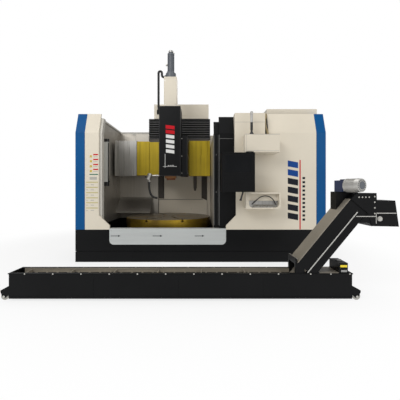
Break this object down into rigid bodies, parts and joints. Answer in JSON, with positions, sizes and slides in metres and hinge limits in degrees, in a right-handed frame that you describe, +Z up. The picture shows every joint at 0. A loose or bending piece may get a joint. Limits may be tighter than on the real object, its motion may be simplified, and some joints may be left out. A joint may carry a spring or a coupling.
{
  "type": "cnc vertical lathe",
  "caption": "Single-column vertical turning lathe: enclosed round table, crossrail with head and ram, sliding front doors, and a chip conveyor standing in front.",
  "frame": {"origin": "on the floor, in the underside of the machine's base, straight under the axis of the round table", "axes": "+Z up along the table's axis, +X to the right and +Y from the front doors towards the column"},
  "size_m": [3.5631, 4.0253, 3.359],
  "materials": {
    "alloy": "cast, bare",
    "bellows_cloth": "coated pleated cloth",
    "belt_steel": "worn plate",
    "black_paint": "satin, lightly textured",
    "black_plastic": "matt",
    "blue_paint": "satin powder coat",
    "caster_rubber": "matt",
    "casting_paint": "painted casting",
    "cream_paint": "satin powder coat",
    "grey_paint": "satin",
    "machined_steel": "turned and ground",
    "motor_grey": "satin",
    "orange_paint": "satin",
    "reducer_blue": "gloss",
    "stainless": "brushed",
    "yellow_cover": "stainless plate under yellow film"
  },
  "bodies": {
    "root": {"base": "black_paint", "sill_plate": "stainless", "door_track": "grey_paint", "table_bed": "casting_paint", "left_front_panel": "cream_paint", "left_corner_trim": "blue_paint", "left_side_panel": "cream_paint", "left_jamb": "grey_paint", "left_inner_wall": "stainless", "back_wall": "stainless", "splash_skirt": "stainless", "right_inner_wall": "stainless", "right_front_panel": "cream_paint", "right_corner_trim": "blue_paint", "right_side_panel": "cream_paint", "right_rear_panel": "cream_paint", "electrical_cabinet": "cream_paint", "column": "casting_paint", "column_top_cover": "cream_paint", "column_bellows": "bellows_cloth", "lower_cover_fixed": "cream_paint", "work_lamp": "black_plastic", "console_cabinet": "cream_paint", "console_arm": "cream_paint", "console": "black_paint", "pendant_pocket": "cream_paint", "signal_lamp": "motor_grey", "conveyor_trough": "black_paint", "conveyor_incline": "black_paint", "incline_cover": "grey_paint", "discharge_hood": "black_paint", "conveyor_belt": "belt_steel", "trough_cover": "belt_steel", "gear_bracket": "black_paint", "gear_motor": "alloy", "gear_reducer": "reducer_blue", "coolant_pump": "black_paint", "castor_forks": "black_paint", "castor_wheels": "caster_rubber"},
    "rail": {"crossrail": "casting_paint", "rail_end_cover": "stainless", "rail_right_cover": "yellow_cover", "lower_cover_moving": "cream_paint", "drain_spout": "casting_paint"},
    "head": {"saddle": "casting_paint", "head_cover": "black_paint", "side_box": "black_paint", "drive_column": "cream_paint", "z_motor": "motor_grey", "motor_conduit": "black_plastic", "coolant_valve": "stainless", "coolant_nozzle": "black_plastic", "saddle_cover_plates": "yellow_cover"},
    "middle_covers": {"middle_cover_plates": "yellow_cover"},
    "ram": {"ram": "machined_steel", "tool_holder": "orange_paint"},
    "table": {"table": "machined_steel"},
    "door_lead": {"door_lead": "black_paint"},
    "door_follow": {"door_follow": "black_paint"}
  },
  "joints": [
    {"name": "rail_lift", "type": "slide", "parent": "root", "child": "rail", "axis": [0, 0, 1], "range_m": [0, 0.2], "deforming": ["column_bellows"]},
    {"name": "head_slide", "type": "slide", "parent": "rail", "child": "head", "axis": [1, 0, 0], "range_m": [-0.44, 0]},
    {"name": "middle_slide", "type": "slide", "parent": "rail", "child": "middle_covers", "axis": [1, 0, 0], "range_m": [-0.22, 0]},
    {"name": "ram_slide", "type": "slide", "parent": "head", "child": "ram", "axis": [0, 0, 1], "range_m": [-0.6, 0]},
    {"name": "table_spin", "type": "hinge", "parent": "root", "child": "table", "pos_m": [0, 0, 0.4], "axis": [0, 0, 1], "continuous": true},
    {"name": "door_slide", "type": "slide", "parent": "root", "child": "door_lead", "axis": [1, 0, 0], "range_m": [-1.54, 0]},
    {"name": "door_follow_slide", "type": "slide", "parent": "root", "child": "door_follow", "axis": [1, 0, 0], "range_m": [-0.77, 0]}
  ],
  "couplings": [
    {"joint": "middle_slide", "follows": "head_slide", "ratio": 0.5},
    {"joint": "door_follow_slide", "follows": "door_slide", "ratio": 0.5}
  ]
}
